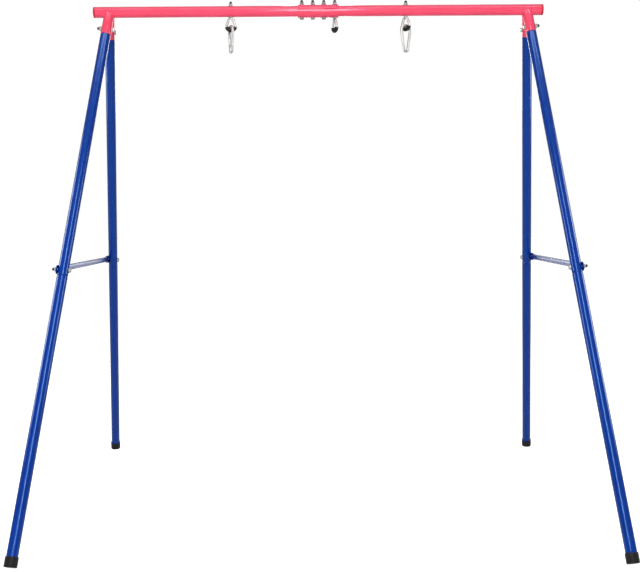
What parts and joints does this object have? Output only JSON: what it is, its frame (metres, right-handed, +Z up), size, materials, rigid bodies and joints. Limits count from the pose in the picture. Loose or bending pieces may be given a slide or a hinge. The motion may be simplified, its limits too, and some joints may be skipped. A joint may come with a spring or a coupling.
{
  "type": "a-frame swing stand",
  "caption": "Free-standing tube swing stand: a pink-red beam on two blue splayed A-frames, with eyebolts and snap hooks.",
  "frame": {"origin": "on the floor, under the middle of the beam", "axes": "+X along the beam, +Z up, -Y towards the side that the picture shows"},
  "size_m": [1.8542, 1.5622, 1.7834],
  "materials": {
    "pink_paint": "gloss",
    "blue_paint": "gloss",
    "black_plastic": "matte",
    "red_plastic": "satin",
    "zinc": "satin",
    "spring_steel": "satin"
  },
  "bodies": {
    "stand": {"beam_left": "pink_paint", "beam_right": "pink_paint", "beam_plug_left": "red_plastic", "beam_plug_right": "red_plastic", "coupling_upper": "pink_paint", "coupling_lower": "pink_paint", "coupling_bolt_left_outer": "zinc", "coupling_bolt_left_inner": "zinc", "coupling_bolt_right_inner": "zinc", "upper_leg_left_front": "blue_paint", "upper_leg_left_back": "blue_paint", "upper_leg_right_front": "blue_paint", "upper_leg_right_back": "blue_paint", "lower_leg_left_front": "blue_paint", "lower_leg_left_back": "blue_paint", "lower_leg_right_front": "blue_paint", "lower_leg_right_back": "blue_paint", "foot_cap_left_front": "black_plastic", "foot_cap_left_back": "black_plastic", "foot_cap_right_front": "black_plastic", "foot_cap_right_back": "black_plastic", "brace_left": "blue_paint", "brace_right": "blue_paint", "socket_bolt_left_front": "zinc", "socket_bolt_left_back": "zinc", "socket_bolt_right_front": "zinc", "socket_bolt_right_back": "zinc", "socket_nut_left_front": "zinc", "socket_nut_left_back": "zinc", "socket_nut_right_front": "zinc", "socket_nut_right_back": "zinc", "joint_bolt_left_front": "zinc", "joint_bolt_left_back": "zinc", "joint_bolt_right_front": "zinc", "joint_bolt_right_back": "zinc", "joint_nut_left_front": "zinc", "joint_nut_left_back": "zinc", "joint_nut_right_front": "zinc", "joint_nut_right_back": "zinc", "eyebolt_left": "zinc", "eyebolt_centre": "zinc", "eyebolt_right": "zinc", "eye_nut_left": "zinc", "eye_nut_centre": "zinc", "eye_nut_right": "zinc", "eye_bush_left": "black_plastic", "eye_bush_centre": "black_plastic", "eye_bush_right": "black_plastic"},
    "left_hook": {"snap_hook_left": "zinc"},
    "left_gate": {"snap_gate_left": "zinc", "gate_pin_left": "zinc", "gate_plunger_left": "zinc", "gate_spring_left": "spring_steel"},
    "right_hook": {"snap_hook_right": "zinc"},
    "right_gate": {"snap_gate_right": "zinc", "gate_pin_right": "zinc", "gate_plunger_right": "zinc", "gate_spring_right": "spring_steel"}
  },
  "joints": [
    {"name": "left_hook_swing", "type": "hinge", "parent": "stand", "child": "left_hook", "pos_m": [-0.31, 0, 1.6793], "axis": [-0.9063, -0.4226, 0], "range_deg": [-75, 75]},
    {"name": "left_gate_turn", "type": "hinge", "parent": "left_hook", "child": "left_gate", "pos_m": [-0.31479, 0.01027, 1.62457], "axis": [0.9063, 0.4226, 0], "range_deg": [0, 30], "stiffness_Nm_per_rad": 0.1, "springref_deg": -28.65},
    {"name": "right_hook_swing", "type": "hinge", "parent": "stand", "child": "right_hook", "pos_m": [0.31, 0, 1.6793], "axis": [-0.515, 0.8572, 0], "range_deg": [-75, 75]},
    {"name": "right_gate_turn", "type": "hinge", "parent": "right_hook", "child": "right_gate", "pos_m": [0.31972, 0.00584, 1.62377], "axis": [0.515, -0.8572, 0], "range_deg": [0, 30], "stiffness_Nm_per_rad": 0.1, "springref_deg": -28.65}
  ]
}
